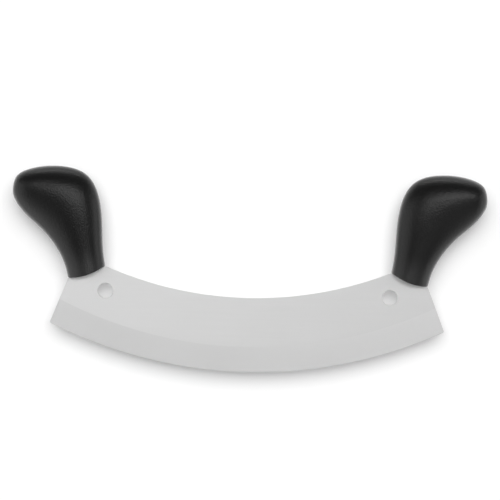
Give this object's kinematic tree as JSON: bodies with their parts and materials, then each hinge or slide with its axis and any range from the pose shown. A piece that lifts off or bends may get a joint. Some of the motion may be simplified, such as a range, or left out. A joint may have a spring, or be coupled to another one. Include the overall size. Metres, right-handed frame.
{
  "type": "double-handled mezzaluna",
  "caption": "Crescent chopping knife with two upright moulded grips, rocked with both hands over a board; hanging holes beside the grips.",
  "frame": {"origin": "centre of the whole outline in X and Y, at the height of the surface that the knife lies on, under the bulbs of its grips", "axes": "+X along the knife's length, +Y in the blade's plane from the cutting edge towards the tops of the grips, +Z square to the blade, up from the surface that it lies on"},
  "size_m": [0.4082, 0.1742, 0.031],
  "materials": {
    "blade_steel": "fine satin, flat ground towards the edge",
    "grip_skin": "black, fine matte moulded texture",
    "core_plastic": "plain moulded",
    "pin_steel": "plain drawn"
  },
  "bodies": {
    "root": {"blade": "blade_steel", "left_grip": "grip_skin", "right_grip": "grip_skin", "left_core_front": "core_plastic", "left_core_back": "core_plastic", "right_core_front": "core_plastic", "right_core_back": "core_plastic", "left_tang_pins": "pin_steel", "right_tang_pins": "pin_steel"}
  },
  "joints": []
}
